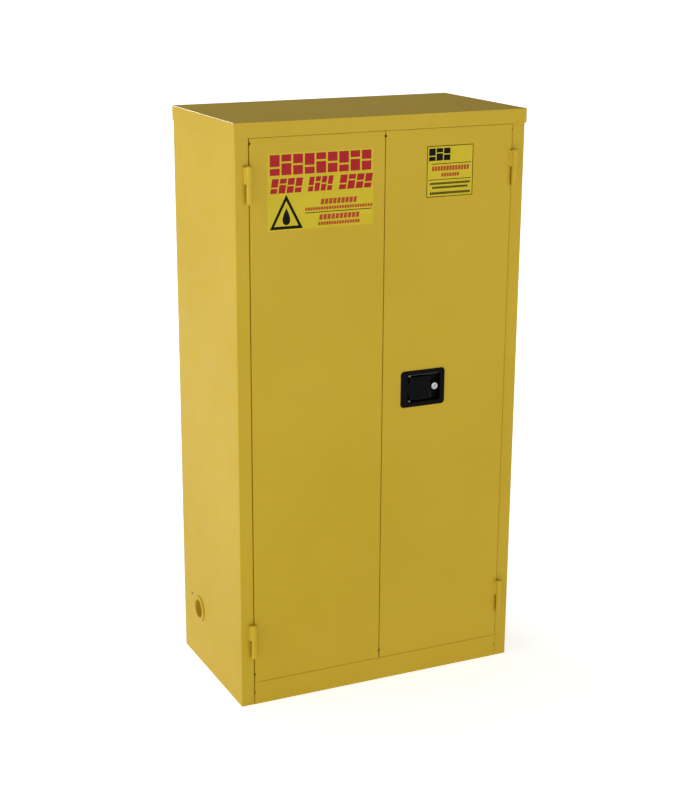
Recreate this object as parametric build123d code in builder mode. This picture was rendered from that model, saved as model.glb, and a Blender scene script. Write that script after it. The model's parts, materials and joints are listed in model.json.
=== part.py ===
from build123d import *
import os
from math import cos, radians, sin

# Flammable storage cabinet: a double-walled two-door steel cabinet with a flush paddle latch.
# Millimetres. X runs along the width, Y from front to back, Z up. The origin is the centre of the
# whole cabinet's box, on the floor.

# ---- Driving dimensions --------------------------------------------------------------------
height = 1651.0            # 65 in overall
body_width = 867.0         # over the two side sheets, 34 in nominal
body_depth = 464.0         # jamb face to back sheet, 18 in nominal
sheet = 1.2                # 18 gauge steel
bend = 2.2                 # outside radius of a folded edge
touch = 0.1                # gap left where two sheets are welded face to face
wall = 39.0                # double wall: sheet, 1-1/2 in of air, sheet

skirt_height = 40.0        # top cap's folded edge
cap_side_overhang = 3.0
cap_rear_overhang = 1.5
door_proud = 3.3           # door face ahead of the jambs
skirt_proud = 1.5          # top cap's skirt ahead of the door faces
kick_set_back = 1.0        # kick panel behind the door faces
seam = 1.6                 # 1/16 in between the doors, and between each door and its jamb
door_bottom = 69.8
door_top = 1610.6
door_pan_depth = 20.3      # door face to the back of the outer pan's folded edge
door_depth = 41.3          # door face to the back of the inner pan
kick_height = 69.0
kick_gap = 0.6             # kick panel to jamb
sill_top = 94.0            # 2 in above the floor pan
header_bottom = 1596.0
floor_height = 43.0        # upper face of the leak-proof floor pan
stop_lip = 14.0            # how far the frame reaches behind the door's edge

barrel_radius = 8.5
barrel_length = 101.0
barrel_clear = 0.5         # barrel to door face
hinge_outboard = 4.05      # barrel axis beyond the middle of the seam
hinge_heights = (200.5, 1490.0)
hinge_pin_radius = 4.0
run_gap = 0.05             # radial clearance of a running fit
relief_radius = 3.0        # half-round relief in a folded edge
relief_depth = 15.0

vent_bore = 28.0           # radius of the pocket that takes a 2 in vent pipe
vent_recess = 15.0         # depth of that pocket
vent_thread = 26.5         # radius of the threaded bore behind it
vent_from_front = 335.0
vent_low = 169.6
vent_high = height - vent_low
vent_flange = 4.0          # how far the flange stands off the side sheet
vent_cut = 30.2            # radius of the holes in the two walls

bonding_y = 177.5
bonding_z = 194.5
bonding_radius = 4.76      # 3/8 in screw
nut_length = 6.0
nut_half = 8.5             # half the weld nut's width over its flats

bolt_height = 14.0
rod_size = (14.0, 3.2)     # width and thickness of the latch rods

# ---- Planes and lines that follow from them ------------------------------------------------
half_width = body_width / 2
hinge_proud = door_proud + barrel_clear + 2 * barrel_radius
jamb_y = (hinge_proud - body_depth - cap_rear_overhang) / 2
door_y = jamb_y - door_proud
back_y = jamb_y + body_depth
jamb_edge = half_width - wall
door_edge = jamb_edge - seam
stop_y = jamb_y + 19.0
inner_y = back_y - wall
cap_bottom = height - skirt_height
door_z = (door_bottom, door_top)
hinge_x = jamb_edge - seam / 2 + hinge_outboard
hinge_y = door_y - barrel_clear - barrel_radius
pan_back_y = door_y + door_pan_depth
door_back_y = door_y + door_depth
side_lip_x = jamb_edge - stop_lip

vent_y = jamb_y + vent_from_front

os.makedirs("parts", exist_ok=True)


# ---- Helpers -------------------------------------------------------------------------------
def keep(name, piece):
    """Labels a finished piece and writes it."""
    piece.part.label = name
    export_step(piece.part, f"parts/{name}.step")


def block(x, y, z, mode=Mode.ADD):
    """A block between the two values given on each axis, in the current part."""
    with Locations(((x[0] + x[1]) / 2, (y[0] + y[1]) / 2, (z[0] + z[1]) / 2)):
        Box(abs(x[1] - x[0]), abs(y[1] - y[0]), abs(z[1] - z[0]), mode=mode)


def rod(centre, radius, length, along="Z", mode=Mode.ADD):
    """A round bar centred on a point, along X, Y or Z, in the current part."""
    turn = {"X": (0, 90, 0), "Y": (90, 0, 0), "Z": (0, 0, 0)}[along]
    with Locations(Location(centre, turn)):
        Cylinder(radius, length, mode=mode)


def folded(points, side, thickness=sheet, radius=bend):
    """Sketches the section of a folded sheet, from the points along one of its faces."""
    with BuildLine(Plane.XY) as outline:
        FilletPolyline(*points, radius=radius)
        offset(amount=thickness, side=side)
    make_face(outline.edges())


def mirrored(hand, *values):
    """X values for the left (-1) or the right (+1) hand, in rising order."""
    return tuple(sorted(hand * v for v in values))


# ---- Outer casing --------------------------------------------------------------------------
with BuildPart() as top_cap:
    block((-half_width - cap_side_overhang, half_width + cap_side_overhang),
          (door_y - skirt_proud, back_y + cap_rear_overhang), (cap_bottom, height))
    fillet(top_cap.edges().filter_by(Axis.Z), bend)
    fillet(top_cap.faces().sort_by(Axis.Z)[-1].edges(), bend)
    offset(amount=-sheet, openings=top_cap.faces().sort_by(Axis.Z)[0])
keep("top_cap", top_cap)


def outer_side(name, hand, vent_z, bonding_hole):
    """A side sheet: rear flange, side, front jamb and the jamb's return."""
    rear = back_y - sheet - touch
    with BuildPart() as piece:
        with BuildSketch():
            folded([(hand * (half_width - 20), rear), (hand * half_width, rear),
                    (hand * half_width, jamb_y), (hand * jamb_edge, jamb_y),
                    (hand * jamb_edge, stop_y - 0.2)],
                   Side.LEFT if hand < 0 else Side.RIGHT)
        extrude(amount=height - sheet - touch)
        rod((hand * half_width, vent_y, vent_z), vent_cut, 10, "X", Mode.SUBTRACT)
        if bonding_hole:
            rod((hand * half_width, bonding_y, bonding_z), bonding_radius, 10, "X", Mode.SUBTRACT)
    keep(name, piece)


outer_side("outer_side_left", -1, vent_low, True)
outer_side("outer_side_right", 1, vent_high, False)

with BuildPart() as outer_back:
    block((-half_width, half_width), (back_y - sheet, back_y), (0, height - bend - touch))
    fillet(outer_back.edges().filter_by(Axis.Z).group_by(Axis.Y)[-1], 1.0)
keep("outer_back", outer_back)

with BuildPart() as outer_base:
    block((-half_width + sheet + touch, half_width - sheet - touch),
          (stop_y + sheet + touch, back_y - 2 * (sheet + touch)), (0, 25))
    fillet(outer_base.edges().filter_by(Axis.Z), bend)
    offset(amount=-sheet, openings=outer_base.faces().sort_by(Axis.Z)[-1])
keep("outer_base", outer_base)

with BuildPart() as kick_panel:
    kick_edge = jamb_edge - kick_gap
    kick_y = door_y + kick_set_back
    with BuildSketch(Plane.YZ.offset(-kick_edge)):
        folded([(stop_y - touch, 0), (kick_y, 0), (kick_y, kick_height),
                (stop_y - touch, kick_height)], Side.RIGHT)
    extrude(amount=2 * kick_edge)
    for x in (-kick_edge, kick_edge - sheet):
        block((x, x + sheet), (kick_y + bend, stop_y - 1), (sheet, kick_height - sheet))
    for x in (-kick_edge, kick_edge):
        rod((x, kick_y, kick_height / 2 + 3), relief_radius, 2 * relief_depth, "Y", Mode.SUBTRACT)
keep("kick_panel", kick_panel)

# ---- Front frame ---------------------------------------------------------------------------
latch_z = 882.8            # middle of the paddle latch
hub_x = 101.5
hub_rest = -16.0           # degrees from upright at rest, and as far past it when pulled
rod_reach = 24.0           # hub centre to the rods' pins
bolt_reach = 22.0          # hub centre to the bolt's pin
rod_y = stop_y + 6.6       # middle of the rods' thickness
upper_rod_x = hub_x + rod_reach * cos(radians(hub_rest))
lower_rod_x = hub_x - rod_reach * cos(radians(hub_rest))
keeper_size = (rod_size[0] + 3.0, rod_size[1] + 3.0)
sill_depth = 23.0
header_depth = 13.0
channel_lip = 16.0

with BuildPart() as sill_channel:
    with BuildSketch(Plane.YZ.offset(-jamb_edge + touch)):
        folded([(stop_y, sheet + touch), (stop_y, sill_top), (stop_y + sill_depth, sill_top),
                (stop_y + sill_depth, sill_top - channel_lip)], Side.RIGHT)
    extrude(amount=2 * (jamb_edge - touch))
    for hand in (-1, 1):
        block(mirrored(hand, jamb_edge - 1.5, jamb_edge + 1), (stop_y + sheet, stop_y + 30),
              (60, sill_top + 1), Mode.SUBTRACT)
    block((lower_rod_x - keeper_size[0] / 2, lower_rod_x + keeper_size[0] / 2),
          (rod_y - keeper_size[1] / 2, rod_y + keeper_size[1] / 2),
          (sill_top - 3, sill_top + 1), Mode.SUBTRACT)
keep("sill_channel", sill_channel)

with BuildPart() as header_channel:
    with BuildSketch(Plane.YZ.offset(-jamb_edge + touch)):
        folded([(jamb_y, height - sheet - touch), (jamb_y, cap_bottom + 0.2),
                (stop_y, cap_bottom + 0.2), (stop_y, header_bottom),
                (stop_y + header_depth, header_bottom)], Side.LEFT)
    extrude(amount=2 * (jamb_edge - touch))
    for hand in (-1, 1):
        block(mirrored(hand, jamb_edge - 1.5, jamb_edge + 1), (stop_y + sheet, stop_y + 30),
              (header_bottom - 1, cap_bottom + 5), Mode.SUBTRACT)
    block((upper_rod_x - keeper_size[0] / 2, upper_rod_x + keeper_size[0] / 2),
          (rod_y - keeper_size[1] / 2, rod_y + keeper_size[1] / 2),
          (header_bottom - 1, header_bottom + 3), Mode.SUBTRACT)
keep("header_channel", header_channel)


# ---- Inner casing --------------------------------------------------------------------------
inner_top_z = cap_bottom + 0.7
standard_depth = 10.0
standard_width = 25.0
standard_y = (jamb_y + 75.0, jamb_y + 388.0)


def inner_side(name, hand, vent_z):
    """An inner side sheet with the lip that the door closes against."""
    with BuildPart() as piece:
        with BuildSketch(Plane.XY.offset(floor_height - sheet)):
            folded([(hand * side_lip_x, stop_y), (hand * jamb_edge, stop_y),
                    (hand * jamb_edge, inner_y - touch)], Side.RIGHT if hand < 0 else Side.LEFT)
        extrude(amount=inner_top_z - touch - floor_height + sheet)
        for z in ((0, sill_top + touch), (header_bottom - touch, height)):
            block(mirrored(hand, side_lip_x - 1, jamb_edge - sheet), (stop_y - 1, stop_y + 25), z,
                  Mode.SUBTRACT)
            block(mirrored(hand, jamb_edge - 2, jamb_edge + 1), (stop_y - 1, stop_y + bend + touch),
                  z, Mode.SUBTRACT)
        rod((hand * jamb_edge, vent_y, vent_z), vent_cut, 10, "X", Mode.SUBTRACT)
    keep(name, piece)


inner_side("inner_side_left", -1, vent_low)
inner_side("inner_side_right", 1, vent_high)

with BuildPart() as inner_back:
    block((-jamb_edge, jamb_edge), (inner_y, inner_y + sheet),
          (floor_height - sheet, inner_top_z - touch))
keep("inner_back", inner_back)

with BuildPart() as inner_top:
    block((-jamb_edge, jamb_edge), (stop_y + sheet + 0.2, inner_y + sheet),
          (inner_top_z, inner_top_z + sheet))
keep("inner_top", inner_top)

with BuildPart() as floor_pan:
    block((-jamb_edge + sheet + touch, jamb_edge - sheet - touch),
          (stop_y + sill_depth + touch, inner_y - touch), (floor_height - sheet, sill_top - 2))
    fillet(floor_pan.edges().filter_by(Axis.Z), 3)
    fillet(floor_pan.faces().sort_by(Axis.Z)[0].edges(), bend)
    offset(amount=-sheet, openings=floor_pan.faces().sort_by(Axis.Z)[-1])
keep("floor_pan", floor_pan)


# ---- Spacers that keep the two walls apart --------------------------------------------------
spacer_flange = 18.0
spacer_z = (70.0, 1590.0)
side_spacer_y = (jamb_y + 110.0, jamb_y + 240.0)
spread_x = (-220.0, 220.0)     # outer spacers of the back and the roof
floor_spacer_x = 250.0
spacer_end = 30.0              # level spacers' ends short of the walls


def z_section(low, high, across, turned=False):
    """Sketches the section of a Z-shaped spacer that spans low to high, centred on across."""
    outline = [(across - spacer_flange, low), (across + sheet, low),
               (across + sheet, high - sheet), (across + spacer_flange, high - sheet),
               (across + spacer_flange, high), (across, high), (across, low + sheet),
               (across - spacer_flange, low + sheet)]
    if turned:
        outline = [(v, u) for u, v in outline]
    Polygon(*outline, align=None)


with BuildPart() as side_spacers:
    with BuildSketch(Plane.XY.offset(spacer_z[0])):
        for hand in (-1, 1):
            low, high = mirrored(hand, half_width - sheet - touch, jamb_edge + touch)
            for y in side_spacer_y:
                z_section(low, high, y, turned=True)
    extrude(amount=spacer_z[1] - spacer_z[0])
keep("side_spacers", side_spacers)

with BuildPart() as back_spacers:
    with BuildSketch(Plane.XY.offset(spacer_z[0])):
        for x in (spread_x[0], 0, spread_x[1]):
            z_section(inner_y + sheet + touch, back_y - sheet - touch, x)
    extrude(amount=spacer_z[1] - spacer_z[0])
keep("back_spacers", back_spacers)


def level_spacers(name, z, xs):
    """Spacers that lie between two level sheets and run from front to back."""
    with BuildPart() as piece:
        with BuildSketch(Plane.XZ.offset(-(inner_y - spacer_end))):
            for x in xs:
                z_section(*z, x)
        extrude(amount=inner_y - stop_y - 2 * spacer_end)
    keep(name, piece)


level_spacers("floor_spacers", (sheet, floor_height - sheet), (-floor_spacer_x, 0, floor_spacer_x))
level_spacers("roof_spacers", (inner_top_z + sheet, height - sheet), spread_x)


# ---- Shelves -------------------------------------------------------------------------------
slot_pitch = 88.9          # shelves adjust in 3-1/2 in steps
slot_size = (4.0, 13.0)
slot_count = 17
first_slot = 130.0
standard_z = (105.0, 1575.0)
standard_face = jamb_edge - sheet - touch - standard_depth
standard_sheet = 1.5
shelf_slots = (5, 11)      # the slot that holds each shelf, counted from the lowest
shelf_lip = 31.75
shelf_half = standard_face - 1.8
shelf_y = (jamb_y + 48.0, jamb_y + 415.0)
clip_sheet = 2.0
clip_half = 8.0            # half a clip's width
clip_ledge = 24.0
clip_drop = 26.0
clip_tongue = 5.0          # reach of its tongue into the slot


def shelf_standard(name, hand, y):
    """A slotted upright channel on an inner side sheet."""
    with BuildPart() as piece:
        block(mirrored(hand, standard_face, standard_face + standard_depth),
              (y - standard_width / 2, y + standard_width / 2), standard_z)
        wall_side = piece.faces().sort_by(Axis.X)[-1 if hand > 0 else 0]
        fillet(piece.faces().sort_by(Axis.X)[0 if hand > 0 else -1].edges().filter_by(Axis.Z), 2.0)
        offset(amount=-standard_sheet, openings=wall_side)
        for index in range(slot_count):
            with Locations((hand * standard_face, y, first_slot + index * slot_pitch)):
                Box(2 * standard_depth - 4, *slot_size, mode=Mode.SUBTRACT)
    keep(name, piece)


for side, hand in (("left", -1), ("right", 1)):
    for end, y in (("front", standard_y[0]), ("rear", standard_y[1])):
        shelf_standard(f"shelf_standard_{side}_{end}", hand, y)


def shelf(name, slot):
    """A leak-proof shelf tray with an upturned lip all round."""
    low = first_slot + slot * slot_pitch
    with BuildPart() as piece:
        block((-shelf_half, shelf_half), shelf_y, (low, low + shelf_lip))
        fillet(piece.edges().filter_by(Axis.Z), 4)
        fillet(piece.faces().sort_by(Axis.Z)[0].edges(), bend)
        offset(amount=-sheet, openings=piece.faces().sort_by(Axis.Z)[-1])
    keep(name, piece)


shelf("shelf_lower", shelf_slots[0])
shelf("shelf_upper", shelf_slots[1])

with BuildPart() as shelf_clips:
    for slot in shelf_slots:
        ledge = first_slot + slot * slot_pitch
        for hand in (-1, 1):
            for y in standard_y:
                across = (y - clip_half, y + clip_half)
                block(mirrored(hand, standard_face - clip_ledge, standard_face), across,
                      (ledge - clip_sheet, ledge))
                block(mirrored(hand, standard_face - clip_sheet, standard_face), across,
                      (ledge - clip_drop, ledge))
                block(mirrored(hand, standard_face - 0.5, standard_face + clip_tongue), (y - 1.5, y + 1.5),
                      (ledge - 5, ledge - 1))
    fillet(shelf_clips.edges().filter_by(Axis.Y).group_by(Axis.Z)[0], 0.8)
keep("shelf_clips", shelf_clips)


# ---- Vents ---------------------------------------------------------------------------------
vent_flange_radius = 39.0
plug_below = 1.0           # plug's face below the shoulder of the pocket
plug_length = 12.0
socket_half = 6.5          # the plug's square driving socket
screen_sheet = 1.0
sleeve_wall = 2.0
screen_pitch = 5.4
screen_hole = 1.9          # radius


def vent(place, hand, z):
    """A vent through both walls: flanged sleeve, threaded plug and flame-arrestor screen."""
    face = half_width + vent_flange
    end = jamb_edge - sheet - 1.5
    length = face - end
    outward = Plane(origin=(hand * end, vent_y, z), x_dir=(0, 1, 0), z_dir=(hand, 0, 0))
    with BuildPart() as sleeve:
        with BuildSketch(outward):
            Circle(vent_bore + sleeve_wall)
        extrude(amount=length)
        with BuildSketch(outward.offset(half_width - end)):
            Circle(vent_flange_radius)
        extrude(amount=vent_flange)
        fillet(sleeve.faces().sort_by(Axis.X)[-1 if hand > 0 else 0].edges(), 1.8)
        with BuildSketch(outward):
            Circle(vent_thread)
        extrude(amount=length, mode=Mode.SUBTRACT)
        with BuildSketch(outward.offset(length - vent_recess)):
            Circle(vent_bore)
        extrude(amount=vent_recess, mode=Mode.SUBTRACT)
    keep(f"vent_sleeve_{place}", sleeve)

    plug_plane = outward.offset(length - vent_recess - plug_below)
    with BuildPart() as plug:
        with BuildSketch(plug_plane):
            Circle(vent_thread - run_gap)
        extrude(amount=-plug_length)
        fillet(plug.edges(), 1.0)
        with BuildSketch(plug_plane):
            Circle(vent_thread - 4)
            Rectangle(2 * socket_half, 2 * socket_half, mode=Mode.SUBTRACT)
        extrude(amount=-3, mode=Mode.SUBTRACT)
        with BuildSketch(plug_plane):
            RectangleRounded(3.4 * socket_half, 3.4 * socket_half, 2)
            Rectangle(2 * socket_half, 2 * socket_half, mode=Mode.SUBTRACT)
        extrude(amount=-plug_length + 1)
        with BuildSketch(plug_plane):
            Rectangle(2 * socket_half, 2 * socket_half)
        extrude(amount=-plug_length + 2, mode=Mode.SUBTRACT)
    keep(f"vent_plug_{place}", plug)

    with BuildPart() as screen:
        with BuildSketch(outward.offset(0.5)):
            Circle(vent_thread)
            with GridLocations(screen_pitch, screen_pitch, 9, 9) as grid:
                holes = [spot for spot in grid if spot.position.length < vent_thread - 3.5]
            with Locations(*holes):
                Circle(screen_hole, mode=Mode.SUBTRACT)
        extrude(amount=screen_sheet)
    keep(f"vent_screen_{place}", screen)


vent("low", -1, vent_low)
vent("high", 1, vent_high)

# ---- Bonding-wire hole's weld nut ------------------------------------------------------------
with BuildPart() as bonding_nut:
    with BuildSketch(Plane(origin=(-half_width + sheet, bonding_y, bonding_z),
                           x_dir=(0, 1, 0), z_dir=(1, 0, 0))):
        RegularPolygon(nut_half, 6, major_radius=False)
        Circle(bonding_radius, mode=Mode.SUBTRACT)
    extrude(amount=nut_length)
keep("bonding_nut", bonding_nut)


# ---- Hinges --------------------------------------------------------------------------------
knuckle_gap = 0.6
leaf_reach = 12.5          # barrel axis to the wing's free edge
leaf_proud = 3.0           # wing's free edge ahead of the door face
wing_inset = 3.0           # barrel's end beyond the wing
closed_length = 5.0        # solid end of a knuckle
half_barrel = (barrel_length - knuckle_gap) / 2


def hinge_halves(name, axis_x, upper, reach, leaf_back):
    """The same half of both hinges of one door: a bored knuckle with its welded wing."""
    with BuildPart() as piece:
        for middle in hinge_heights:
            low = middle + knuckle_gap / 2 if upper else middle - knuckle_gap / 2 - half_barrel
            span = (low, low + half_barrel)
            rod((axis_x, hinge_y, sum(span) / 2), barrel_radius, half_barrel)
            closed_end = [face for face in piece.faces().filter_by(Axis.Z)
                          if abs(face.center().Z - span[1 if upper else 0]) < 0.01]
            fillet(closed_end[0].edges(), 3.0)
            with BuildSketch(Plane.XY.offset(span[0] + wing_inset)):
                Polygon((axis_x, hinge_y - barrel_radius + 0.2), (axis_x + reach, door_y - leaf_proud),
                        (axis_x + reach, leaf_back), (axis_x, leaf_back), align=None)
            extrude(amount=half_barrel - 2 * wing_inset)
            bore = half_barrel - closed_length
            rod((axis_x, hinge_y, span[0] + bore / 2 if upper else span[1] - bore / 2),
                hinge_pin_radius + run_gap, bore, mode=Mode.SUBTRACT)
        fillet(piece.edges().filter_by(Axis.Z).filter_by(
            lambda edge: abs(edge.center().X - axis_x - reach) < 0.01
            and abs(edge.center().Y - door_y + leaf_proud) < 0.01), 1.2)
    keep(name, piece)


for side, hand in (("left", -1), ("right", 1)):
    frame_is_upper = hand < 0
    hinge_halves(f"hinge_frame_leaves_{side}", hand * hinge_x, frame_is_upper,
                 hand * leaf_reach, jamb_y)
    hinge_halves(f"hinge_door_leaves_{side}", hand * hinge_x, not frame_is_upper,
                 -hand * leaf_reach, door_y)

with BuildPart() as hinge_pins:
    for hand in (-1, 1):
        for middle in hinge_heights:
            rod((hand * hinge_x, hinge_y, middle), hinge_pin_radius, barrel_length - 12)
    chamfer(hinge_pins.edges().filter_by(GeomType.CIRCLE), 0.8)
keep("hinge_pins", hinge_pins)

# ---- Paddle latch: sizes that the right door's cut-outs share --------------------------------
dish_x = (57.0, 196.5)
dish_z = (latch_z - 53.25, latch_z + 53.25)
dish_corner = 11.0
dish_lip = 2.0             # lip's thickness, in front of the door face
tub_wall = 2.5
recess_x = (79.0, 182.0)
recess_z = (latch_z - 39.8, latch_z + 39.8)
recess_corner = 6.0
dish_face = door_y - dish_lip
recess_floor = dish_face + 19.5
tub_back = recess_floor + 2.2
rod_ends = (sill_top + 1.0, header_bottom - 1.0)

# ---- Doors ---------------------------------------------------------------------------------
pan_hem = 12.0
inner_flange_inset = 3.0
inner_side_inset = 22.0
inner_box_z = (door_bottom + 31.0, door_top - 21.0)
stiffener_x = 262.0
stiffener_inset = 15.0     # stiffener's ends inside the inner sheet
hat_half = 20.0            # half the width of its crown
brim_half = 38.0           # and over its brims
bolt_z = latch_z + bolt_reach * cos(radians(hub_rest))


def door_outer_pan(name, hand, cut_out):
    """A door's face sheet with its folded edges and the hem behind them."""
    near, far = seam / 2, door_edge
    with BuildPart() as piece:
        block(mirrored(hand, near, far), (door_y, pan_back_y), door_z)
        fillet(piece.faces().sort_by(Axis.Y)[0].edges(), bend)
        block(mirrored(hand, near + sheet, far - sheet), (door_y + sheet, pan_back_y - sheet),
              (door_bottom + sheet, door_top - sheet), Mode.SUBTRACT)
        block(mirrored(hand, near + pan_hem, far - pan_hem), (pan_back_y - 2, pan_back_y + 1),
              (door_bottom + pan_hem, door_top - pan_hem), Mode.SUBTRACT)
        for x in (hand * near, hand * far):
            for z in (sill_top, header_bottom):
                rod((x, door_y, z), relief_radius, 2 * relief_depth, "Y", Mode.SUBTRACT)
        if cut_out:
            with BuildSketch(Plane.XZ.offset(-door_y + 1)):
                with Locations((sum(recess_x) / 2, latch_z)):
                    RectangleRounded(recess_x[1] - recess_x[0] + 2 * tub_wall + 1,
                                     recess_z[1] - recess_z[0] + 2 * tub_wall + 1, recess_corner)
            extrude(amount=-4, mode=Mode.SUBTRACT)
    keep(name, piece)


def door_inner_pan(name, hand, rod_slots):
    """A door's stepped inner sheet, whose raised middle fits inside the frame."""
    flange_x = mirrored(hand, seam / 2 + inner_flange_inset, door_edge - inner_flange_inset)
    box_x = mirrored(hand, seam / 2 + inner_side_inset, door_edge - inner_side_inset)
    with BuildPart() as piece:
        block(box_x, (pan_back_y, door_back_y), inner_box_z)
        fillet(piece.edges().filter_by(Axis.Y), 5.0)
        fillet(piece.faces().sort_by(Axis.Y)[-1].edges(), bend)
        offset(amount=-sheet, openings=piece.faces().sort_by(Axis.Y)[0])
        with BuildSketch(Plane.XZ.offset(-pan_back_y)):
            with Locations((sum(flange_x) / 2, sum(door_z) / 2)):
                Rectangle(flange_x[1] - flange_x[0], door_top - door_bottom - 2 * inner_flange_inset)
            with Locations((sum(box_x) / 2, sum(inner_box_z) / 2)):
                RectangleRounded(box_x[1] - box_x[0] - 2 * sheet,
                                 inner_box_z[1] - inner_box_z[0] - 2 * sheet, 5.0 - sheet,
                                 mode=Mode.SUBTRACT)
        extrude(amount=-sheet)
        if rod_slots:
            for x, z in ((upper_rod_x, inner_box_z[1]), (lower_rod_x, inner_box_z[0])):
                with Locations((x, rod_y, z)):
                    Box(rod_size[0] + 1.6, rod_size[1] + 1.6, 8, mode=Mode.SUBTRACT)
            with Locations((box_x[0], rod_y, bolt_z)):
                Box(8, rod_size[1] + 1.6, bolt_height + 1.6, mode=Mode.SUBTRACT)
    keep(name, piece)


def door_stiffener(name, hand):
    """A hat-section upright between a door's two sheets."""
    low, high = door_y + sheet, door_back_y - sheet
    with BuildPart() as piece:
        with BuildSketch(Plane.XY.offset(inner_box_z[0] + stiffener_inset)):
            with Locations((hand * stiffener_x, 0)):
                for half in (-1, 1):
                    Polygon((0, high), (half * hat_half, high), (half * hat_half, low + sheet),
                            (half * brim_half, low + sheet), (half * brim_half, low),
                            (half * (hat_half - sheet), low),
                            (half * (hat_half - sheet), high - sheet), (0, high - sheet),
                            align=None)
        extrude(amount=inner_box_z[1] - inner_box_z[0] - 2 * stiffener_inset)
    keep(name, piece)


for side, hand in (("left", -1), ("right", 1)):
    door_outer_pan(f"{side}_door_outer_pan", hand, cut_out=hand > 0)
    door_inner_pan(f"{side}_door_inner_pan", hand, rod_slots=hand > 0)
    door_stiffener(f"{side}_door_stiffener", hand)

# ---- Labels --------------------------------------------------------------------------------
label_sheet = 0.3


def label(name, centre, size, corner):
    """A thin adhesive label on a door's face."""
    with BuildPart() as piece:
        with BuildSketch(Plane.XZ.offset(-door_y)):
            with Locations(centre):
                RectangleRounded(*size, corner)
        extrude(amount=label_sheet)
    keep(name, piece)


label("hazard_label", (-190.4, 1465.8), (308.8, 205.0), 4.0)
label("data_label", (197.8, 1492.0), (144.5, 141.0), 2.0)

# ---- Paddle latch --------------------------------------------------------------------------
pivot_x = 87.5
pivot_y = door_y + 6.3
pin_radius = 2.5
collar_radius = 4.2        # collar at each end of the paddle's pin
knuckle_radius = 5.0
paddle_edge = 152.5
paddle_z = (latch_z - 34.0, latch_z + 34.0)
paddle_face = dish_face + 0.3
paddle_sheet = 3.0
lock_x = 166.5
lock_radius = 10.0
boss_radius = 12.3
plug_radius = 6.0
barrel_wall = 8.5
tail_z = (latch_z + 18.0, latch_z + 28.0)
tail_length = 20.0
hub_y = (tub_back + 3.0, tub_back + 6.0)
hub_radius = 11.0
hub_arm = 8.0              # width of its three arms
hub_pin_radius = 2.5
stud_radius = 5.0
pin_back = rod_y + rod_size[1] / 2 + 1.5

with BuildPart() as latch_dish:
    with BuildSketch(Plane.XZ.offset(-door_y)):
        with Locations((sum(dish_x) / 2, latch_z)):
            RectangleRounded(dish_x[1] - dish_x[0], dish_z[1] - dish_z[0], dish_corner)
    extrude(amount=dish_lip)
    fillet(latch_dish.faces().sort_by(Axis.Y)[0].edges(), 1.4)
    with BuildSketch(Plane.XZ.offset(-door_y)):
        with Locations((sum(recess_x) / 2, latch_z)):
            RectangleRounded(recess_x[1] - recess_x[0] + 2 * tub_wall,
                             recess_z[1] - recess_z[0] + 2 * tub_wall, recess_corner)
    extrude(amount=door_y - tub_back)
    with BuildSketch(Plane.XZ.offset(-dish_face)):
        with Locations((sum(recess_x) / 2, latch_z)):
            RectangleRounded(recess_x[1] - recess_x[0], recess_z[1] - recess_z[0], recess_corner)
    extrude(amount=dish_face - recess_floor, mode=Mode.SUBTRACT)
    rim = latch_dish.faces().sort_by(Axis.Y)[0].inner_wires()[0]
    fillet(rim.edges(), 1.4)
    floor_face = [f for f in latch_dish.faces().filter_by(Axis.Y)
                  if abs(f.center().Y - recess_floor) < 0.01]
    fillet(floor_face[0].edges(), 2.5)
    with BuildSketch(Plane.XZ.offset(-recess_floor)):
        with Locations((lock_x, latch_z)):
            Circle(boss_radius)
    extrude(amount=recess_floor - dish_face - 5.8)
    rod((lock_x, recess_floor, latch_z), barrel_wall + run_gap, 60, "Y", Mode.SUBTRACT)
    block((pivot_x - 4, pivot_x + 15.5), (recess_floor - 1, tub_back + 1),
          (tail_z[0] - 1.5, tail_z[1] + 1.5), Mode.SUBTRACT)
    rod((pivot_x, pivot_y, latch_z), pin_radius, recess_z[1] - recess_z[0] + 3, "Z",
        Mode.SUBTRACT)
keep("latch_dish", latch_dish)

with BuildPart() as paddle_pin:
    rod((pivot_x, pivot_y, latch_z), pin_radius, recess_z[1] - recess_z[0] + 3)
    for hand in (-1, 1):
        rod((pivot_x, pivot_y, latch_z + hand * 37.3), collar_radius, 3.0)
    fillet(paddle_pin.edges().filter_by(GeomType.CIRCLE).filter_by(
        lambda edge: edge.radius > pin_radius + 1), 0.8)
keep("paddle_pin", paddle_pin)

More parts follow.
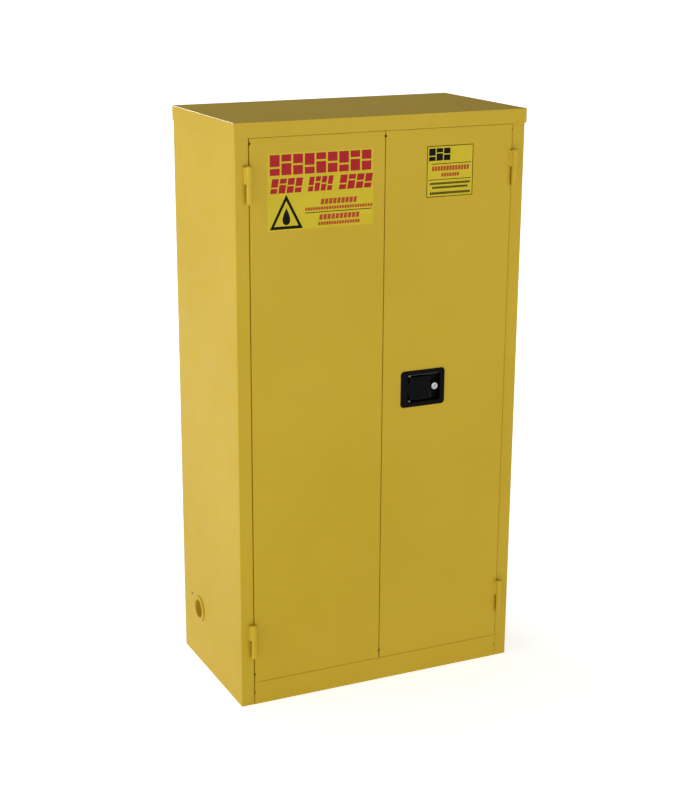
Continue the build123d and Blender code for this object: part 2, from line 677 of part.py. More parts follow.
with BuildPart() as latch_paddle:
    plate_x = (pivot_x - 3.5, paddle_edge)
    with BuildSketch(Plane.XY.offset(paddle_z[0])):
        with BuildLine():
            face = Line((plate_x[0], paddle_face), (plate_x[1] - 4, paddle_face))
            TangentArc(face @ 1, (plate_x[1], paddle_face + 4), tangent=face % 1)
            Polyline((plate_x[1], paddle_face + 4), (plate_x[1], paddle_face + 9),
                     (plate_x[1] - paddle_sheet, paddle_face + 9),
                     (plate_x[1] - paddle_sheet, paddle_face + 4.5),
                     (plate_x[1] - 4.5, paddle_face + paddle_sheet),
                     (plate_x[0], paddle_face + paddle_sheet), (plate_x[0], paddle_face))
        make_face()
    extrude(amount=paddle_z[1] - paddle_z[0])
    fillet(latch_paddle.faces().sort_by(Axis.Y)[0].edges().filter_by(Axis.X), 1.5)
    lugs = ((paddle_z[0] + 1, paddle_z[0] + 11), (latch_z + 15, paddle_z[1] - 1))
    for low, high in lugs:
        rod((pivot_x, pivot_y, (low + high) / 2), knuckle_radius, high - low)
        block((pivot_x - 3.5, pivot_x + 4), (paddle_face + 2, pivot_y), (low, high))
        rod((pivot_x, pivot_y, (low + high) / 2), pin_radius + run_gap, high - low + 2,
            mode=Mode.SUBTRACT)
    block((pivot_x - 2.5, pivot_x + 2.5), (pivot_y + 4, pivot_y + tail_length), tail_z)
    for low, high in ((paddle_z[0] + 2, paddle_z[0] + 5), (paddle_z[1] - 5, paddle_z[1] - 2)):
        block((pivot_x + 3, paddle_edge - 2), (paddle_face + 2, paddle_face + 7), (low, high))
keep("latch_paddle", latch_paddle)

coil_radius = 4.0
spring_wire = 0.7
spring_turns = 6
with BuildPart() as paddle_spring:
    start = (pivot_x, pivot_y, latch_z - 14)
    with BuildLine() as coil:
        Helix(pitch=2 * spring_wire + 0.6, height=(2 * spring_wire + 0.6) * spring_turns,
              radius=coil_radius, center=start)
    with BuildSketch(Plane(origin=coil.line @ 0, z_dir=coil.line % 0)):
        Circle(spring_wire)
    sweep(path=coil.line, is_frenet=True)
keep("paddle_spring", paddle_spring)

with BuildPart() as lock_housing:
    rod((lock_x, dish_face + 4.8, latch_z), lock_radius, 2.0, "Y")
    fillet(lock_housing.faces().sort_by(Axis.Y)[0].edges(), 0.9)
    with BuildSketch(Plane.XZ.offset(-(dish_face + 5.8))):
        with Locations((lock_x, latch_z)):
            Circle(barrel_wall)
    extrude(amount=dish_face + 5.8 - tub_back - 6)
    rod((lock_x, dish_face, latch_z), plug_radius + run_gap, 100, "Y", Mode.SUBTRACT)
keep("lock_housing", lock_housing)

with BuildPart() as lock_nut:
    with BuildSketch(Plane.XZ.offset(-tub_back)):
        with Locations((lock_x, latch_z)):
            RegularPolygon(11.5, 6, major_radius=False)
            Circle(barrel_wall, mode=Mode.SUBTRACT)
    extrude(amount=-4)
keep("lock_nut", lock_nut)

with BuildPart() as lock_plug:
    plug_front = dish_face + 3.5
    with BuildSketch(Plane.XZ.offset(-plug_front)):
        with Locations((lock_x, latch_z)):
            Circle(plug_radius)
    extrude(amount=plug_front - tub_back - 6.3)
    fillet(lock_plug.faces().sort_by(Axis.Y)[0].edges(), 0.6)
    with BuildSketch(Plane.XZ.offset(-(tub_back + 6.3))):
        with Locations((lock_x, latch_z)):
            Circle(3.6)
    extrude(amount=-4)
    block((lock_x - 0.9, lock_x + 0.9), (plug_front - 1, plug_front + 12),
          (latch_z - 4.2, latch_z + 4.2), Mode.SUBTRACT)
keep("lock_plug", lock_plug)

with BuildPart() as lock_cam:
    with BuildSketch(Plane.XZ.offset(-(tub_back + 6.5))):
        with Locations((lock_x, latch_z)):
            SlotCenterPoint((-11, 0), (0, 0), 14)
            Circle(3.6, mode=Mode.SUBTRACT)
    extrude(amount=-2.5)
keep("lock_cam", lock_cam)

with BuildPart() as hub_stud:
    with BuildSketch(Plane.XZ.offset(-tub_back)):
        with Locations((hub_x, latch_z)):
            Circle(stud_radius)
    extrude(amount=tub_back - pin_back)
    with BuildSketch(Plane.XZ.offset(-pin_back)):
        with Locations((hub_x, latch_z)):
            Circle(stud_radius + 2.5)
    extrude(amount=-1.5)
keep("hub_stud", hub_stud)


def hub_point(reach, degrees):
    """A point of the hub's plane at rest; degrees run from straight up towards +X."""
    turn = radians(degrees + hub_rest)
    return hub_x + reach * sin(turn), latch_z + reach * cos(turn)


hub_pins = ((bolt_reach, 0), (rod_reach, 90), (rod_reach, -90))
with BuildPart() as latch_hub:
    with BuildSketch(Plane.XZ.offset(-hub_y[0])):
        with Locations((hub_x, latch_z)):
            Circle(hub_radius)
        for reach, degrees in hub_pins:
            with Locations(hub_point(reach, degrees)):
                Circle(hub_arm / 2)
            with Locations(Location((hub_x, latch_z), -degrees - hub_rest)):
                Rectangle(hub_arm, reach, align=(Align.CENTER, Align.MIN))
        with Locations((hub_x, latch_z)):
            Circle(stud_radius + run_gap, mode=Mode.SUBTRACT)
    extrude(amount=hub_y[0] - hub_y[1])
    for reach, degrees in hub_pins:
        x, z = hub_point(reach, degrees)
        rod((x, (hub_y[1] + pin_back) / 2, z), hub_pin_radius, pin_back - hub_y[1], "Y")
keep("latch_hub", latch_hub)

pin_slot = (7.4, 6.0)      # room for the pin's sideways swing, and its running height
pin_end = 6.0              # rod's end beyond the pin
tip_chamfer = 3.0


def latch_rod(name, x, pin_z, tip_z):
    """A flat latch rod from the hub's pin to its bevelled tip."""
    up = 1 if tip_z > pin_z else -1
    with BuildPart() as piece:
        block((x - rod_size[0] / 2, x + rod_size[0] / 2),
              (rod_y - rod_size[1] / 2, rod_y + rod_size[1] / 2), (pin_z - up * pin_end, tip_z))
        tip = piece.faces().sort_by(Axis.Z)[-1 if up > 0 else 0].edges().filter_by(Axis.Y)
        chamfer(tip, tip_chamfer)
        with Locations((x, rod_y, pin_z)):
            Box(pin_slot[0], 10, pin_slot[1], mode=Mode.SUBTRACT)
    keep(name, piece)


latch_rod("upper_rod", upper_rod_x, hub_point(rod_reach, 90)[1], rod_ends[1])
latch_rod("lower_rod", lower_rod_x, hub_point(rod_reach, -90)[1], rod_ends[0])

bolt_pin = hub_point(bolt_reach, 0)
with BuildPart() as centre_bolt:
    block((seam / 2 + 1.0, bolt_pin[0] + pin_end + 0.5), (rod_y - rod_size[1] / 2, rod_y + rod_size[1] / 2),
          (bolt_z - bolt_height / 2, bolt_z + bolt_height / 2))
    chamfer(centre_bolt.faces().sort_by(Axis.X)[0].edges().filter_by(Axis.Y), tip_chamfer)
    with Locations((bolt_pin[0], rod_y, bolt_pin[1])):
        Box(pin_slot[1], 10, pin_slot[0], mode=Mode.SUBTRACT)
keep("centre_bolt", centre_bolt)

guide_clear = 0.5
guide_half = (13.0, 6.0)   # half a guide's size across its rod and along it
guide_y = (rod_y - rod_size[1] / 2 - 3, door_back_y - sheet)
guide_channel_y = (rod_y - rod_size[1] / 2 - guide_clear, rod_y + rod_size[1] / 2 + guide_clear)
upper_guides = (1120.0, 1400.0)
lower_guides = (330.0, 620.0)
bolt_guide_x = 44.0


def around(middle, half):
    """The two values at a distance of half from the middle."""
    return middle - half, middle + half


with BuildPart() as rod_guides:
    across, along = guide_half
    for x, heights in ((upper_rod_x, upper_guides), (lower_rod_x, lower_guides)):
        for z in heights:
            block(around(x, across), guide_y, around(z, along))
            block(around(x, rod_size[0] / 2 + guide_clear), guide_channel_y, around(z, along + 1),
                  Mode.SUBTRACT)
    block(around(bolt_guide_x, along), guide_y, around(bolt_z, across))
    block(around(bolt_guide_x, along + 1), guide_channel_y,
          around(bolt_z, bolt_height / 2 + guide_clear), Mode.SUBTRACT)
keep("rod_guides", rod_guides)
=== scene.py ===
import json
from math import cos, pi, radians, sin

import bmesh
import bpy
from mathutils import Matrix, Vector


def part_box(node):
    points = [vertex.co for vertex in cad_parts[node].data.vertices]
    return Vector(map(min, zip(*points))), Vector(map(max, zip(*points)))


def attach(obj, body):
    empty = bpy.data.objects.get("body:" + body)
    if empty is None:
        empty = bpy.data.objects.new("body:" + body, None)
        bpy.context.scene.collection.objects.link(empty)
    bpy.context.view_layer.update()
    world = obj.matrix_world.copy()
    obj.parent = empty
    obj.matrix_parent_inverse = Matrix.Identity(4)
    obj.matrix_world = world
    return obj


# Flammable storage cabinet. Metres, in the CAD model's frame: X along the width, +Y to the back, +Z up.
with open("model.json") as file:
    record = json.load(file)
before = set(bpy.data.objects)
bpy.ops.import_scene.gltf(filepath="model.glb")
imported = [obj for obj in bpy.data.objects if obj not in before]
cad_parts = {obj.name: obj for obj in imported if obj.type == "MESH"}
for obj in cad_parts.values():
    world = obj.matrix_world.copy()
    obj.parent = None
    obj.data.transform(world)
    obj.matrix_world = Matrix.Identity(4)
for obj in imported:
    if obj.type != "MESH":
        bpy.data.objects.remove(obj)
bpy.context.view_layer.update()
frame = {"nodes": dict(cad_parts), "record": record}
nodes = frame["nodes"]
scene = bpy.context.scene
MM = 0.001


# ---- Material helpers ------------------------------------------------------------------------
def srgb(red, green, blue):
    """A colour given in sRGB steps of 255, as the linear RGBA that shaders take."""
    def linear(value):
        value /= 255
        return value / 12.92 if value <= 0.04045 else ((value + 0.055) / 1.055) ** 2.4
    return (linear(red), linear(green), linear(blue), 1.0)


def new_material(name, roughness, metallic=0.0):
    """A material with its Principled shader, its node tree and object coordinates."""
    material = bpy.data.materials.new(name)
    material.use_nodes = True
    tree = material.node_tree
    shader = tree.nodes["Principled BSDF"]
    shader.inputs["Roughness"].default_value = roughness
    shader.inputs["Metallic"].default_value = metallic
    place = tree.nodes.new("ShaderNodeTexCoord").outputs["Object"]
    return material, tree, shader, place


def noise(tree, place, scale, detail=2.0, roughness=0.5):
    """Noise of so many cells a metre."""
    node = tree.nodes.new("ShaderNodeTexNoise")
    node.inputs["Scale"].default_value = scale
    node.inputs["Detail"].default_value = detail
    node.inputs["Roughness"].default_value = roughness
    tree.links.new(place, node.inputs["Vector"])
    return node.outputs["Fac"]


def ramp(tree, factor, *stops):
    """A colour ramp from (position, colour) stops."""
    node = tree.nodes.new("ShaderNodeValToRGB")
    elements = node.color_ramp.elements
    while len(elements) < len(stops):
        elements.new(0.5)
    for element, (position, colour) in zip(elements, stops):
        element.position = position
        element.color = colour
    tree.links.new(factor, node.inputs["Fac"])
    return node.outputs["Color"]


def mottle(tree, place, scale, detail, dark, light):
    """Two colours mixed by noise of so many cells a metre."""
    return ramp(tree, noise(tree, place, scale, detail), (0.3, dark), (0.7, light))


def spread(tree, factor, low, high, start=0.3, end=0.7):
    """A factor's middle range spread over low to high."""
    node = tree.nodes.new("ShaderNodeMapRange")
    for socket, value in (("From Min", start), ("From Max", end), ("To Min", low), ("To Max", high)):
        node.inputs[socket].default_value = value
    tree.links.new(factor, node.inputs["Value"])
    return node.outputs["Result"]


def bump(tree, shader, *layers):
    """Stacks (height, distance in metres) layers into the shader's normal."""
    normal = None
    for height, distance in layers:
        node = tree.nodes.new("ShaderNodeBump")
        node.inputs["Distance"].default_value = distance
        tree.links.new(height, node.inputs["Height"])
        if normal:
            tree.links.new(normal, node.inputs["Normal"])
        normal = node.outputs["Normal"]
    tree.links.new(normal, shader.inputs["Normal"])


# ---- Materials -------------------------------------------------------------------------------
def powder_coat(name="yellow_powder_coat", gloss=0.12, roughness=(0.36, 0.48), waves=0.0016):
    """Semi-gloss safety-yellow powder coat: fine orange peel over slightly wavy sheet."""
    material, tree, shader, place = new_material(name, sum(roughness) / 2)
    tree.links.new(mottle(tree, place, 2.2, 3.0, srgb(199, 167, 42), srgb(205, 173, 50)),
                   shader.inputs["Base Color"])
    shader.inputs["Specular IOR Level"].default_value = gloss
    tree.links.new(spread(tree, noise(tree, place, 14.0, 3.0), *roughness), shader.inputs["Roughness"])
    bump(tree, shader, (noise(tree, place, 1.6, 1.0), waves), (noise(tree, place, 420.0, 2.0), 0.00007))
    return material


def black_plastic():
    """Moulded black plastic with a fine matt grain."""
    material, tree, shader, place = new_material("black_plastic", 0.42)
    tree.links.new(mottle(tree, place, 60.0, 3.0, srgb(6, 6, 7), srgb(11, 11, 12)),
                   shader.inputs["Base Color"])
    shader.inputs["Specular IOR Level"].default_value = 0.05
    tree.links.new(spread(tree, noise(tree, place, 90.0, 3.0), 0.3, 0.44), shader.inputs["Roughness"])
    bump(tree, shader, (noise(tree, place, 1400.0, 2.0), 0.00005))
    return material


def chrome():
    """Polished chrome with faint turning marks and handling haze."""
    material, tree, shader, place = new_material("chrome", 0.14, 1.0)
    tree.links.new(mottle(tree, place, 120.0, 2.0, srgb(166, 167, 172), srgb(204, 205, 208)),
                   shader.inputs["Base Color"])
    tree.links.new(spread(tree, noise(tree, place, 260.0, 3.0), 0.08, 0.24), shader.inputs["Roughness"])
    return material


def plated(name, dark, light, spangle, roughness):
    """Zinc on steel: crystals of slightly different grey, so many a metre."""
    material, tree, shader, place = new_material(name, sum(roughness) / 2, 1.0)
    cells = tree.nodes.new("ShaderNodeTexVoronoi")
    cells.inputs["Scale"].default_value = spangle
    tree.links.new(place, cells.inputs["Vector"])
    grey = tree.nodes.new("ShaderNodeSeparateColor")
    tree.links.new(cells.outputs["Color"], grey.inputs["Color"])
    tree.links.new(ramp(tree, grey.outputs["Red"], (0.0, dark), (1.0, light)), shader.inputs["Base Color"])
    tree.links.new(spread(tree, grey.outputs["Green"], *roughness, 0.0, 1.0), shader.inputs["Roughness"])
    bump(tree, shader, (noise(tree, place, 300.0, 2.0), 0.00004))
    return material


def dull_paint(name, dark, light, roughness):
    """Flat paint or plain plastic with a light mottle."""
    material, tree, shader, place = new_material(name, roughness)
    tree.links.new(mottle(tree, place, 30.0, 4.0, dark, light), shader.inputs["Base Color"])
    bump(tree, shader, (noise(tree, place, 500.0, 2.0), 0.00005))
    return material


def ink(name, dark, light, roughness=0.4, gloss=0.15):
    """Screen ink or satin vinyl, a little uneven."""
    material, tree, shader, place = new_material(name, roughness)
    shader.inputs["Specular IOR Level"].default_value = gloss
    tree.links.new(mottle(tree, place, 25.0, 4.0, dark, light), shader.inputs["Base Color"])
    tree.links.new(spread(tree, noise(tree, place, 70.0, 2.0), roughness - 0.06, roughness + 0.08),
                   shader.inputs["Roughness"])
    bump(tree, shader, (noise(tree, place, 45.0, 2.0), 0.00008))
    return material


materials = {
    "yellow_powder_coat": powder_coat(),
    "black_plastic": black_plastic(),
    "chrome": chrome(),
    "zinc_plated_steel": plated("zinc_plated_steel", srgb(176, 174, 166), srgb(206, 204, 198),
                                spangle=220.0, roughness=(0.3, 0.45)),
    "galvanised_steel": plated("galvanised_steel", srgb(158, 162, 166), srgb(200, 203, 206),
                               spangle=70.0, roughness=(0.32, 0.5)),
    "screen_mesh": plated("screen_mesh", srgb(120, 118, 112), srgb(160, 158, 150),
                          spangle=900.0, roughness=(0.35, 0.5)),
    "primed_steel": dull_paint("primed_steel", srgb(150, 152, 154), srgb(166, 168, 170), 0.62),
    "nylon": dull_paint("nylon", srgb(34, 34, 34), srgb(48, 48, 48), 0.5),
    "label_vinyl": ink("label_vinyl", srgb(204, 182, 32), srgb(210, 188, 38), 0.36),
}
glossy_edge = powder_coat("glossy_powder_coat", gloss=0.25, roughness=(0.26, 0.34), waves=0.0001)
red_ink = ink("red_ink", srgb(168, 16, 22), srgb(176, 22, 28))
orange_ink = ink("orange_ink", srgb(172, 64, 18), srgb(180, 72, 24))
# Lighter grey plastic for the painted highlights on the latch's edges.
painted_highlight_plastic = dull_paint("painted_highlight_plastic", srgb(58, 58, 52), srgb(78, 78, 70), 0.4)
black_ink = ink("black_ink", srgb(14, 14, 8), srgb(20, 19, 13), gloss=0.05)

for entry in frame["record"]["subparts"]:
    slots = nodes[entry["node"]].data.materials
    slots.clear()
    slots.append(materials[entry["material_slot"]])


# ---- Mesh helpers ----------------------------------------------------------------------------
def finished(mesh, name, body, material, smooth=False):
    """Turns a bmesh into a piece with its material, which rides on a body."""
    bmesh.ops.recalc_face_normals(mesh, faces=mesh.faces[:])
    data = bpy.data.meshes.new(name)
    mesh.to_mesh(data)
    mesh.free()
    for polygon in data.polygons:
        polygon.use_smooth = smooth
    data.materials.append(material)
    piece = bpy.data.objects.new(name, data)
    scene.collection.objects.link(piece)
    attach(piece, body)


def prism(mesh, outline, front, back):
    """Adds a closed prism of an (x, z) outline between two Y values."""
    rings = [[mesh.verts.new((x, y, z)) for x, z in outline] for y in (front, back)]
    mesh.faces.new(rings[0])
    mesh.faces.new(rings[1][::-1])
    for index in range(len(outline)):
        after = (index + 1) % len(outline)
        mesh.faces.new((rings[0][index], rings[1][index], rings[1][after], rings[0][after]))


def tube(mesh, path, radii, sides=10):
    """Adds a closed round tube through path's points, with a radius at each."""
    rings = []
    for index, point in enumerate(path):
        before, after = path[max(index - 1, 0)], path[min(index + 1, len(path) - 1)]
        turn = (after - before).to_track_quat("Z", "Y")
        ring = []
        for side in range(sides):
            angle = 2 * pi * side / sides
            ring.append(mesh.verts.new(point + turn @ Vector((cos(angle), sin(angle), 0)) * radii[index]))
        rings.append(ring)
    for lower, upper in zip(rings, rings[1:]):
        for side in range(sides):
            after = (side + 1) % sides
            mesh.faces.new((lower[side], lower[after], upper[after], upper[side]))
    mesh.faces.new(rings[0][::-1])
    mesh.faces.new(rings[-1])


def straight(start, end, steps):
    """Evenly spaced points. A coordinate that both ends share stays exact, so a tube's rings don't twist."""
    return [start + (end - start) * (step / steps) for step in range(steps + 1)]


# ---- Weld beads along the hinge wings --------------------------------------------------------
HINGE_SPLIT = 0.3 * MM                 # from the middle of a hinge to the end of each half's knuckle
BEAD_ENDS = (3.6 * MM, 47.2 * MM)      # from the middle of the hinge
FRAME_BEAD, DOOR_BEAD = 2.6 * MM, 2.0 * MM      # radii
RIPPLE = 2.6 * MM
RIPPLE_DEPTH = 0.09                    # of the bead's radius
STEPS_PER_RIPPLE = 4
END_RADIUS, END_SLOPE = 0.45, 8        # share of the full radius at a bead's end, and how fast it grows


def weld_bead(mesh, x, y, low, high, radius):
    """Adds a rippled bead with tapered ends, half sunk in the sheet it lies on."""
    steps = round((high - low) / (RIPPLE / STEPS_PER_RIPPLE))
    radii = []
    for index in range(steps + 1):
        along = index / steps
        taper = min(1.0, END_RADIUS + END_SLOPE * min(along, 1 - along))
        ripple = 1 + RIPPLE_DEPTH * cos(2 * pi * (high - low) * along / RIPPLE)
        radii.append(radius * taper * ripple)
    tube(mesh, straight(Vector((x, y, low)), Vector((x, y, high)), steps), radii)


def hinge_welds(side, hand):
    """The beads that hold one side's hinge wings to the jamb and to the door."""
    frame_wing, door_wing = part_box(f"hinge_frame_leaves_{side}"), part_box(f"hinge_door_leaves_{side}")
    jamb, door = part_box(f"outer_side_{side}")[0].y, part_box(f"{side}_door_outer_pan")[0].y
    lower_hinge = max(frame_wing[0].z, door_wing[0].z) - HINGE_SPLIT
    upper_hinge = min(frame_wing[1].z, door_wing[1].z) + HINGE_SPLIT
    outer, inner = (0, 1) if hand < 0 else (1, 0)
    for name, body, x, y, radius, up in (
            ("frame", "cabinet", frame_wing[outer].x, jamb, FRAME_BEAD, hand < 0),
            ("door", f"{side}_door", door_wing[inner].x, door, DOOR_BEAD, hand > 0)):
        mesh = bmesh.new()
        for middle in (lower_hinge, upper_hinge):
            ends = sorted(middle + (1 if up else -1) * end for end in BEAD_ENDS)
            weld_bead(mesh, x, y, *ends, radius)
        finished(mesh, f"hinge_welds_{name}_{side}", body, materials["yellow_powder_coat"],
                 smooth=True)


hinge_welds("left", -1)
hinge_welds("right", 1)


# ---- Edges of the top cap ---------------------------------------------------------------------
CAP_BEND = 2.2 * MM
COAT_FILM = 0.06 * MM


def cap_edges():
    """The cap's folded top edges, where the coat has flowed smooth: a film over each bend."""
    low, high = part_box("top_cap")
    left, right, front, back = low.x + CAP_BEND, high.x - CAP_BEND, low.y + CAP_BEND, high.y - CAP_BEND
    ring = ((left, front), (right, front), (right, back), (left, back))
    corners = [Vector((x, y, high.z - CAP_BEND)) for x, y in ring]
    mesh = bmesh.new()
    for start, end in zip(corners, corners[1:] + corners[:1]):
        inset = (end - start).normalized() * CAP_BEND
        path = [start + inset, start + 2 * inset, end - 2 * inset, end - inset]
        tube(mesh, path, [CAP_BEND + COAT_FILM] * len(path), sides=32)
    finished(mesh, "cap_edge_coat", "cabinet", glossy_edge, smooth=True)


cap_edges()


# ---- Painted highlights on the latch's edges --------------------------------------------------
RIM_SPAN = (29 * MM, 119 * MM)         # from the dish's left edge
RIM_HEIGHT, RIM_DEPTH = 39.9 * MM, 0.5 * MM     # above the dish's middle, behind its face
EDGE_SPAN = (-31 * MM, -13 * MM)       # up from the dish's middle
EDGE_INSET, EDGE_DEPTH = 1.1 * MM, 1.4 * MM     # from the paddle's free side, behind its face
RIM_RADIUS, EDGE_RADIUS = 0.75 * MM, 0.6 * MM
RIM_STEPS, EDGE_STEPS = 15, 6


def painted_highlight_line(name, body, start, end, steps, radius):
    """A thin straight line of lighter plastic that paints a highlight."""
    mesh = bmesh.new()
    path = straight(start, end, steps)
    tube(mesh, path, [radius] * len(path))
    finished(mesh, name, body, painted_highlight_plastic, smooth=True)


def latch_painted_highlights():
    """Painted highlights: lighter lines along the recess's rim and the paddle's free edge, where the fillets
    would catch the light.
    """
    dish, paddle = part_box("latch_dish"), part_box("latch_paddle")
    middle = (dish[0].z + dish[1].z) / 2
    # The recess's upper rim: a painted highlight where its fillet would reflect the light.
    rim = [Vector((dish[0].x + x, dish[0].y + RIM_DEPTH, middle + RIM_HEIGHT)) for x in RIM_SPAN]
    painted_highlight_line("recess_rim_painted_highlight", "right_door", *rim, RIM_STEPS, RIM_RADIUS)
    # The paddle's free edge below the lock: a painted glint.
    edge = [Vector((paddle[1].x - EDGE_INSET, paddle[0].y + EDGE_DEPTH, middle + z)) for z in EDGE_SPAN]
    painted_highlight_line("paddle_edge_painted_highlight", "paddle", *edge, EDGE_STEPS, EDGE_RADIUS)


latch_painted_highlights()


# ---- Label print: outlines in millimetres from the label's lower left corner --------------------
LEFT_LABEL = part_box("hazard_label")
RIGHT_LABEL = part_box("data_label")
INK = 0.08 * MM
RULE = 1.8                 # width of the data label's rules
BORDER, BORDER_INSET = 2.0, 0.6
SLOT_HEIGHT = 0.09         # of a block's height, as are the next two
LOWEST_SLOT, SLOT_STEP = 0.38, 0.12
DASH_GAP = 0.22            # of a dash and its gap
DASH_LEAN = 0.15           # of a dash's height
DROP_SHARPNESS = 1.4


def bar(left, right, low, high, slant=0.0):
    """A bar's outline; slant leans its top to the right."""
    return [(left, low), (right, low), (right + slant, high), (left + slant, high)]


def row_of_blocks(left, right, low, high, count, gap, slant=0.0):
    """A row of letterless blocks, each cut across by a slot whose height varies along the row."""
    pitch = (right - left - slant + gap) / count
    slot_height = (high - low) * SLOT_HEIGHT
    for index in range(count):
        start = left + index * pitch
        end = start + pitch - gap
        middle = low + (high - low) * (LOWEST_SLOT + SLOT_STEP * (2 * index % 3))
        lean = slant / (high - low)
        shift = (middle + slot_height / 2 - low) * lean
        below = (middle - slot_height / 2 - low) * lean
        yield bar(start, end, low, middle - slot_height / 2, below)
        yield bar(start + shift, end + shift, middle + slot_height / 2, high, slant - shift)


def fine_row(left, right, low, high, count):
    """A row of small dashes that stands for a line of small print."""
    gap = (right - left) / count * DASH_GAP
    pitch = (right - left + gap) / count
    for index in range(count):
        start = left + index * pitch
        yield bar(start, start + pitch - gap, low, high, (high - low) * DASH_LEAN)


def triangle_frame(apex, base_left, base_right, width):
    """The three mitred sides of a triangle, width thick, drawn inside the corners given."""
    corners = [Vector(point) for point in (apex, base_left, base_right)]
    centre = sum(corners, Vector((0, 0))) / 3
    inner_radius = centre.y - base_left[1]
    inner = [centre + (corner - centre) * (1 - width / inner_radius) for corner in corners]
    for index in range(3):
        after = (index + 1) % 3
        yield [tuple(corners[index]), tuple(corners[after]), tuple(inner[after]), tuple(inner[index])]


def drop(centre_x, low, height, width):
    """A plain teardrop outline, round at the bottom and pointed at the top."""
    steps = 24
    points = []
    for index in range(steps):
        angle = 2 * pi * index / steps
        points.append((centre_x + width / 2 * sin(angle) * sin(angle / 2) ** DROP_SHARPNESS,
                       low + height * (1 + cos(angle)) / 2))
    return points


def printed(name, body, label_box, material, outlines):
    """One colour of a label's print, a film of ink on the label's face."""
    corner = label_box[0]
    mesh = bmesh.new()
    for outline in outlines:
        prism(mesh, [(corner.x + x * MM, corner.z + z * MM) for x, z in outline],
              corner.y - INK, corner.y + INK / 2)
    finished(mesh, name, body, material)


def hazard_print():
    """The left door's label: two headline rows, a triangle with a plain drop and rows of small print."""
    headlines = list(row_of_blocks(7.6, 302.0, 146.4, 200.2, 9, gap=5.0))
    for left, right in ((8.2, 102.8), (116.0, 191.5), (206.1, 307.4)):
        headlines += row_of_blocks(left, right, 99.1, 137.7, 4, gap=4.0, slant=6.0)
    printed("hazard_label_red_print", "left_door", LEFT_LABEL, red_ink, headlines)

    small = list(fine_row(153.3, 258.3, 62.7, 77.5, 9))
    small += fine_row(108.1, 305.5, 48.3, 56.4, 26)
    small += fine_row(148.8, 266.1, 21.7, 35.7, 10)
    small += fine_row(145.8, 267.8, 7.1, 16.1, 16)
    printed("hazard_label_orange_print", "left_door", LEFT_LABEL, orange_ink, small)

    marks = list(triangle_frame(apex=(54.1, 94.7), base_left=(6.4, 3.5), base_right=(101.8, 3.5), width=8.0))
    marks.append(drop(centre_x=54.2, low=14.2, height=46.0, width=31.0))
    marks.append(bar(107.8, 305.1, 41.5, 43.5))
    printed("hazard_label_black_print", "left_door", LEFT_LABEL, black_ink, marks)


def data_print():
    """The right door's label: a border, a row of plain blocks, rules and rows of small print."""
    size = (RIGHT_LABEL[1] - RIGHT_LABEL[0]) / MM
    left, right, bottom, top = BORDER_INSET, size.x - BORDER_INSET, BORDER_INSET, size.z - BORDER_INSET
    dark = [bar(left, right, bottom, bottom + BORDER), bar(left, right, top - BORDER, top),
            bar(left, left + BORDER, bottom + BORDER, top - BORDER),
            bar(right - BORDER, right, bottom + BORDER, top - BORDER)]
    dark += row_of_blocks(6.45, 72.25, 100.0, 133.5, 3, gap=3.0)
    dark += [bar(16.45, 138.45, 90.3, 90.3 + RULE), bar(5.45, 138.45, 47.1, 47.1 + RULE)]
    dark += fine_row(10.45, 134.45, 34.5, 40.5, 22)
    dark += fine_row(17.95, 127.45, 23.5, 29.5, 19)
    dark += fine_row(10.45, 135.15, 7.5, 14.5, 21)
    printed("data_label_black_print", "right_door", RIGHT_LABEL, black_ink, dark)

    orange = list(fine_row(15.15, 130.15, 72.2, 85.0, 13))
    orange += fine_row(45.15, 99.45, 55.8, 65.2, 7)
    printed("data_label_orange_print", "right_door", RIGHT_LABEL, orange_ink, orange)


hazard_print()
data_print()


# ---- Floor, light and camera -----------------------------------------------------------------
def pale_floor():
    """A large pale floor that turns into the white backdrop with distance, by a glow of its own."""
    near, far = 0.8, 5.0               # metres from the object's middle
    lighting, seen = (0.38, 0.5), (0.62, 1.0)      # glow near and far, for other things and for the camera
    mesh = bmesh.new()
    bmesh.ops.create_circle(mesh, cap_ends=True, segments=96, radius=60.0)
    data = bpy.data.meshes.new("floor")
    mesh.to_mesh(data)
    mesh.free()
    floor = bpy.data.objects.new("floor", data)
    floor.location.z = -0.5 * MM
    scene.collection.objects.link(floor)
    material, tree, shader, place = new_material("floor_white", 0.9)
    tree.links.new(mottle(tree, place, 0.6, 2.0, srgb(232, 232, 231), srgb(238, 238, 237)),
                   shader.inputs["Base Color"])
    shader.inputs["Specular IOR Level"].default_value = 0.0
    shader.inputs["Emission Color"].default_value = (1.0, 1.0, 1.0, 1.0)
    away = tree.nodes.new("ShaderNodeVectorMath")
    away.operation = "LENGTH"
    tree.links.new(place, away.inputs[0])
    glow = tree.nodes.new("ShaderNodeMix")
    tree.links.new(tree.nodes.new("ShaderNodeLightPath").outputs["Is Camera Ray"], glow.inputs["Factor"])
    tree.links.new(spread(tree, away.outputs["Value"], *lighting, near, far), glow.inputs["A"])
    tree.links.new(spread(tree, away.outputs["Value"], *seen, near, far), glow.inputs["B"])
    tree.links.new(glow.outputs["Result"], shader.inputs["Emission Strength"])
    data.materials.append(material)


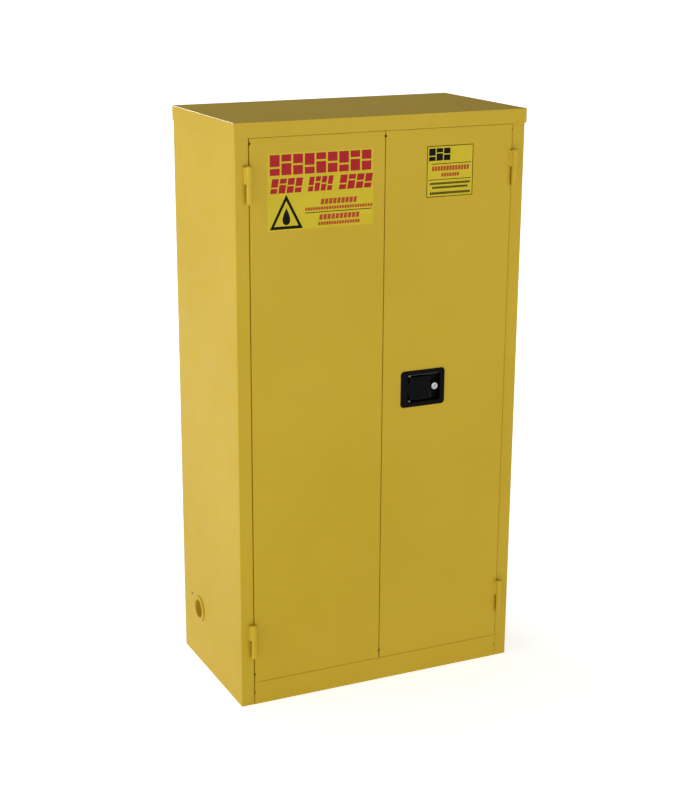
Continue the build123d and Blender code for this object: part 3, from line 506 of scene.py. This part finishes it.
def panel_light(name, place, aim, width, height, watts):
    """A large soft rectangular light."""
    light = bpy.data.lights.new(name, "AREA")
    light.shape = "RECTANGLE"
    light.size = width
    light.size_y = height
    light.energy = watts
    lamp = bpy.data.objects.new(name, light)
    lamp.location = place
    lamp.rotation_euler = (Vector(aim) - Vector(place)).to_track_quat("-Z", "Y").to_euler()
    scene.collection.objects.link(lamp)


def studio_world():
    """A white surround that lights the object most from overhead; the camera sees it plain white."""
    world = bpy.data.worlds.new("studio")
    world.use_nodes = True
    tree = world.node_tree
    backdrop = tree.nodes["Background"]
    backdrop.inputs["Color"].default_value = (1, 1, 1, 1)
    backdrop.inputs["Strength"].default_value = 1.0
    surround = tree.nodes.new("ShaderNodeBackground")
    up = tree.nodes.new("ShaderNodeSeparateXYZ")
    tree.links.new(tree.nodes.new("ShaderNodeTexCoord").outputs["Generated"], up.inputs["Vector"])
    level = spread(tree, up.outputs["Z"], 0.2, 0.5, 0.25, 0.8)
    tree.links.new(level, surround.inputs["Strength"])
    mix = tree.nodes.new("ShaderNodeMixShader")
    tree.links.new(tree.nodes.new("ShaderNodeLightPath").outputs["Is Camera Ray"], mix.inputs["Fac"])
    tree.links.new(surround.outputs["Background"], mix.inputs[1])
    tree.links.new(backdrop.outputs["Background"], mix.inputs[2])
    tree.links.new(mix.outputs["Shader"], tree.nodes["World Output"].inputs["Surface"])
    scene.world = world


def main_camera():
    """A camera left of the front and a little above, aimed slightly down."""
    camera = bpy.data.objects.new("camera", bpy.data.cameras.new("camera"))
    down, roll, left = 16.91, -0.04, 24.38
    camera.location = (-1.9488, -4.06385, 2.1344)
    camera.rotation_euler = (radians(90 - down), radians(roll), radians(-left))
    camera.data.lens = 72.0
    camera.data.sensor_width = 36.0
    camera.data.shift_x = 0.0442
    camera.data.shift_y = 0.0146
    scene.collection.objects.link(camera)
    scene.camera = camera


pale_floor()
studio_world()
panel_light("side_light", (-5.0, -0.2, 1.7), (0, 0, 0.9), width=4.0, height=3.0, watts=110.0)
panel_light("rim_light", (-1.4, 4.8, 3.2), (-0.4, 0, 1.6), width=2.2, height=1.4, watts=110.0)
panel_light("front_light", (1.2, -5.5, 1.8), (0, 0, 0.9), width=4.5, height=2.6, watts=87.0)
scene.view_settings.view_transform = "Standard"
main_camera()
